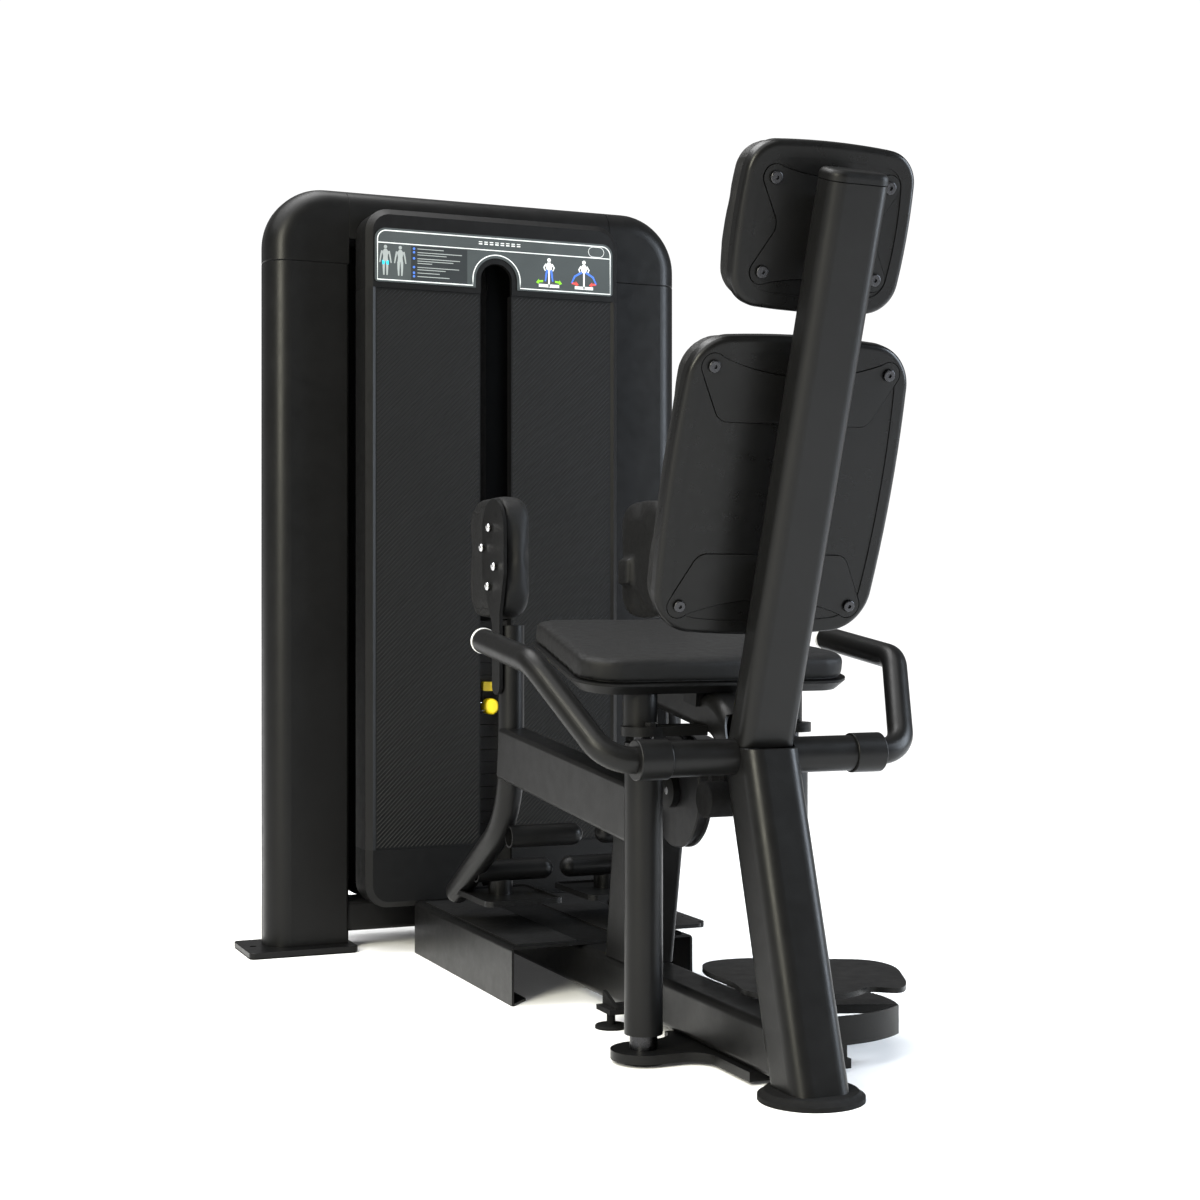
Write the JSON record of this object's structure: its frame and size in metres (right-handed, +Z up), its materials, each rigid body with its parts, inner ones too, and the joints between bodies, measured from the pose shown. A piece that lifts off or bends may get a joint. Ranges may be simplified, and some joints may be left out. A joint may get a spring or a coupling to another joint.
{
  "type": "hip abductor machine",
  "caption": "Selectorised seated hip abduction machine: weight tower with shrouded stack, raked back pads, seat, and two coupled leg arms with thigh pads.",
  "frame": {"origin": "centre of the bounding box at floor level", "axes": "+Z up, +Y from the seat towards the weight tower (the way the sitter faces), +X to the sitter's right"},
  "size_m": [0.97, 1.6842, 1.505],
  "materials": {
    "frame_black": "satin textured powder coat",
    "mesh_sheet": "fine ribbed satin sheet",
    "moulding": "fine grained matte moulding",
    "panel_graphics": "printed polycarbonate sheet",
    "upholstery": "smooth matte vinyl upholstery",
    "rubber_black": "matte ribbed rubber",
    "bright_steel": "ground steel bar",
    "bolt_black": "black oxide bolts and pins",
    "stack_iron": "black painted plate",
    "pulley_nylon": "moulded nylon",
    "belt": "matte flat belt and coated cable",
    "signal_yellow": "glossy yellow moulding",
    "cap_white": "satin white moulded cap"
  },
  "bodies": {
    "frame": {"tower_posts": "frame_black", "tower_corners": "frame_black", "tower_top_beam": "frame_black", "tower_crossmember": "frame_black", "tower_foot_plates": "frame_black", "rear_leg": "frame_black", "back_post": "frame_black", "cross_tubes": "frame_black", "seat_support": "frame_black", "base_beam": "frame_black", "base_lug_plate": "frame_black", "platform": "frame_black", "seat_column": "frame_black", "column_pulley_bracket": "frame_black", "pivot_lugs": "frame_black", "pad_brackets": "frame_black", "handles": "frame_black", "handle_collars": "frame_black", "shroud_sides": "frame_black", "shroud_mesh_panels": "mesh_sheet", "shroud_upper_bezel": "moulding", "shroud_lower_bezel": "moulding", "tower_rear_cover": "moulding", "back_shell": "moulding", "head_shell": "moulding", "seat_shell": "moulding", "back_post_cap": "moulding", "placard": "panel_graphics", "seat_pad": "upholstery", "back_pad": "upholstery", "head_pad": "upholstery", "floor_pads": "rubber_black", "rear_foot": "rubber_black", "platform_mats": "rubber_black", "stack_cushions": "rubber_black", "support_bumper": "rubber_black", "stack_guide_rods": "bright_steel", "pulley_axles": "bright_steel", "pad_bolts": "bolt_black", "pivot_pins": "bolt_black", "stack_resting_plates": "stack_iron", "belt_lift_run": "belt", "belt_drive_run": "belt", "handle_caps": "cap_white"},
    "right_arm": {"arm_right": "frame_black", "thigh_plate_right": "frame_black", "thigh_pad_right": "upholstery", "foot_tray_right": "frame_black", "drive_cam": "frame_black"},
    "left_arm": {"arm_left": "frame_black", "thigh_plate_left": "frame_black", "thigh_pad_left": "upholstery", "foot_tray_left": "frame_black"},
    "stack": {"stack_lifted_plates": "stack_iron", "selector_rod": "bright_steel", "selector_tether_tab": "signal_yellow"},
    "pin": {"selector_pin": "signal_yellow"},
    "top_pulley": {"belt_top_pulley": "pulley_nylon"},
    "base_pulley": {"belt_base_pulley": "pulley_nylon"},
    "free_pulley": {"column_pulley": "pulley_nylon"}
  },
  "joints": [
    {"name": "right_arm_swing", "type": "hinge", "parent": "frame", "child": "right_arm", "pos_m": [0.1235, -0.4072, 0.26], "axis": [0, 0, -1], "range_deg": [0, 50]},
    {"name": "left_arm_swing", "type": "hinge", "parent": "frame", "child": "left_arm", "pos_m": [-0.1235, -0.4072, 0.26], "axis": [0, 0, 1], "range_deg": [0, 50.1]},
    {"name": "stack_lift", "type": "slide", "parent": "frame", "child": "stack", "axis": [0, 0, 1], "range_m": [0, 0.1432], "deforming": ["belt_lift_run"]},
    {"name": "top_pulley_spin", "type": "hinge", "parent": "frame", "child": "top_pulley", "pos_m": [0, 0.7403, 1.335], "axis": [-1, 0, 0], "range_deg": [0, 160]},
    {"name": "base_pulley_spin", "type": "hinge", "parent": "frame", "child": "base_pulley", "pos_m": [0, 0.7583, 0.0835], "axis": [-1, 0, 0], "range_deg": [0, 240]},
    {"name": "free_pulley_spin", "type": "hinge", "parent": "frame", "child": "free_pulley", "pos_m": [0, -0.2782, 0.39], "axis": [1, 0, 0], "continuous": true},
    {"name": "selector_pin_pull", "type": "slide", "parent": "stack", "child": "pin", "axis": [0, -1, 0], "range_m": [0, 0.06]}
  ],
  "couplings": [
    {"joint": "left_arm_swing", "follows": "right_arm_swing", "ratio": 1},
    {"joint": "stack_lift", "follows": "right_arm_swing", "m_per_rad": 0.163},
    {"joint": "top_pulley_spin", "follows": "right_arm_swing", "ratio": 3.0467},
    {"joint": "base_pulley_spin", "follows": "right_arm_swing", "ratio": 4.5915}
  ]
}
